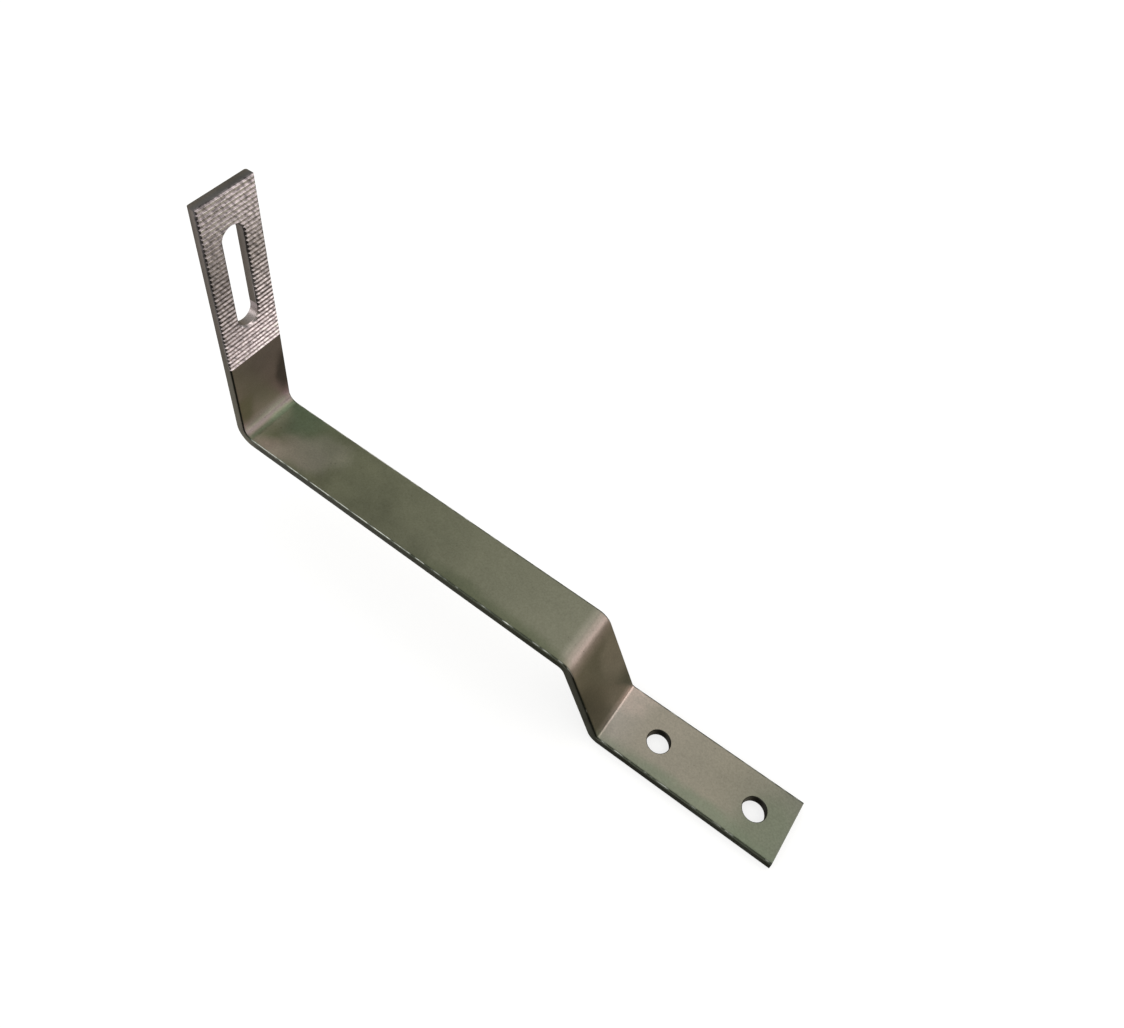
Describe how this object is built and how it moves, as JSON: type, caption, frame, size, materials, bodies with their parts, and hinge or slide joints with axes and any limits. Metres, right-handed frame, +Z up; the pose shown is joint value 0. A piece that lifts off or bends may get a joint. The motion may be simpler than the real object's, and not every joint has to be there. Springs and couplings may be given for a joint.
{
  "type": "solar tile roof hook",
  "caption": "Bent flat-bar hook that screws to a rafter, passes over a roof tile and holds a solar rail bolt in its slotted, serrated tab.",
  "frame": {"origin": "midway between the two screw holes, on the underside of the foot", "axes": "+X along the bar towards the foot's free end, +Y across the bar, +Z up from the rafter along the screws"},
  "size_m": [0.2873, 0.03, 0.1833],
  "materials": {
    "stainless_bar": "hot-rolled, pickled stainless steel flat bar with a dull satin skin"
  },
  "bodies": {
    "root": {"roof_hook": "stainless_bar"}
  },
  "joints": []
}
